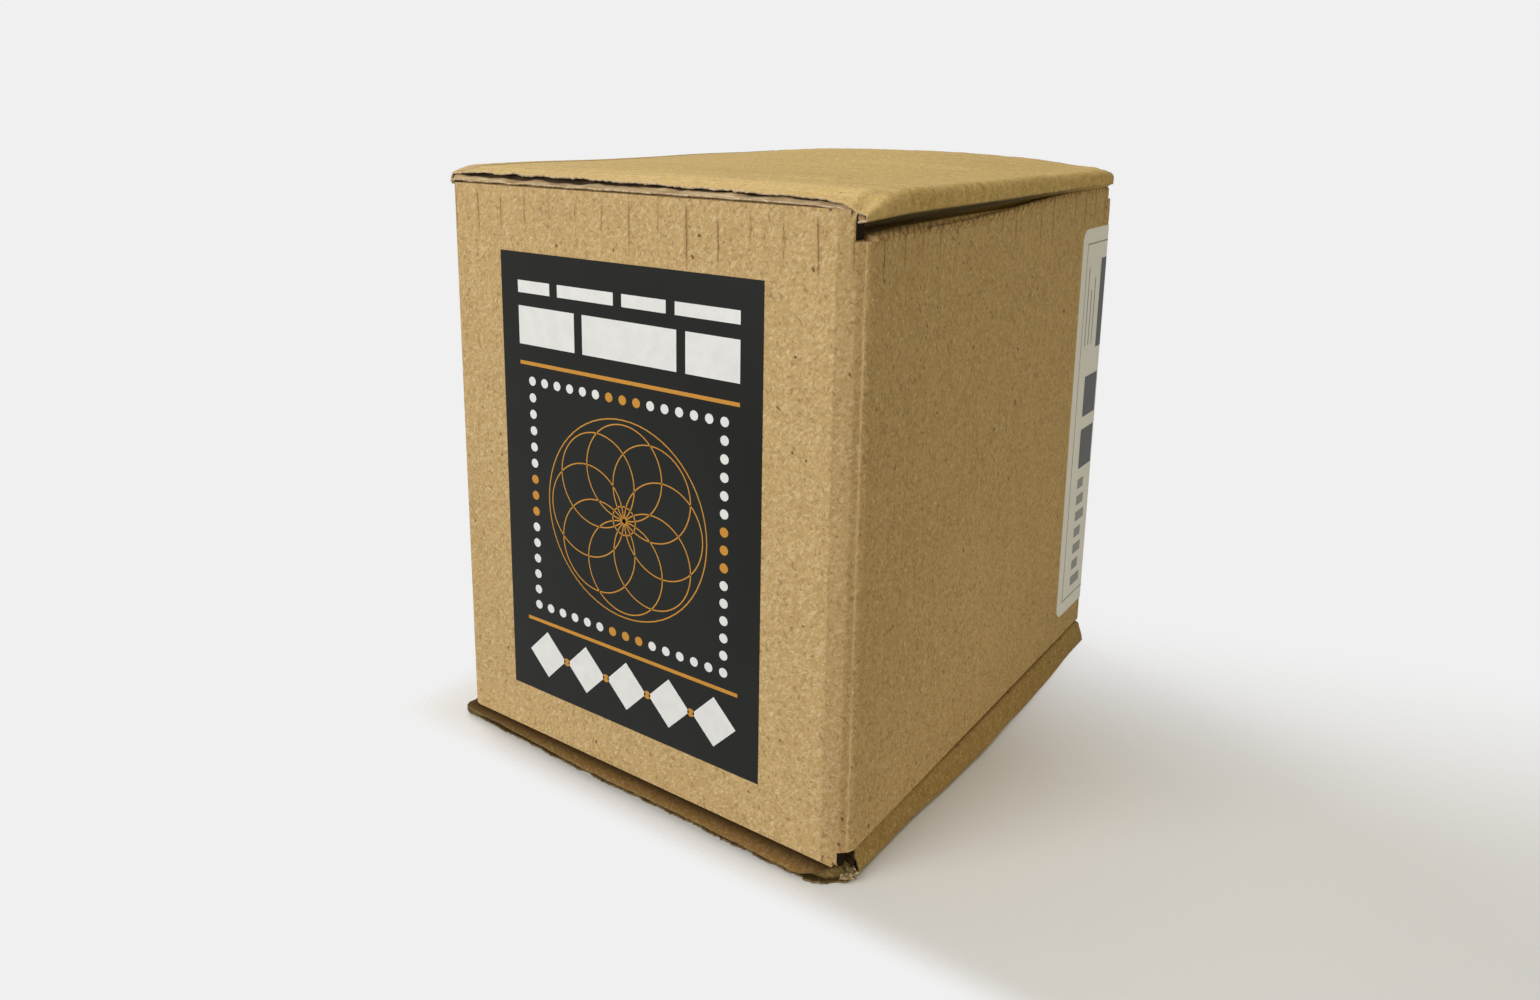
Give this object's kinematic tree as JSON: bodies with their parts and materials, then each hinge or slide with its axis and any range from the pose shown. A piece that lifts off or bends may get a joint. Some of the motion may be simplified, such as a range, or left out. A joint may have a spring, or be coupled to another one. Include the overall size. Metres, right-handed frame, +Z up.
{
  "type": "mug box",
  "caption": "Straight-tuck corrugated box for a mug, closed, with a hinged lid and bottom flap, a plain dark label and a shipping label.",
  "frame": {"origin": "centre of the box's footprint, on the floor under the bottom flap", "axes": "+Z up; -Y out of the front wall, which has the dark label; +X out of the wall that both tucks close on; the lid and the bottom flap are hinged on the -X wall"},
  "size_m": [0.1073, 0.1294, 0.13],
  "materials": {
    "kraft_board": "plain brown kraft corrugated board",
    "dark_label": "matt black printed paper label",
    "white_label": "matt white thermal label"
  },
  "bodies": {
    "carton": {"carton": "kraft_board", "front_label": "dark_label", "shipping_label": "white_label"},
    "lid": {"lid": "kraft_board"},
    "bottom_flap": {"bottom_flap": "kraft_board"}
  },
  "joints": [
    {"name": "lid_fold", "type": "hinge", "parent": "carton", "child": "lid", "pos_m": [-0.052, 0, 0.129], "axis": [0, -1, 0], "range_deg": [0, 180]},
    {"name": "bottom_fold", "type": "hinge", "parent": "carton", "child": "bottom_flap", "pos_m": [-0.052, 0, 0.001], "axis": [0, 1, 0], "range_deg": [0, 180]}
  ]
}
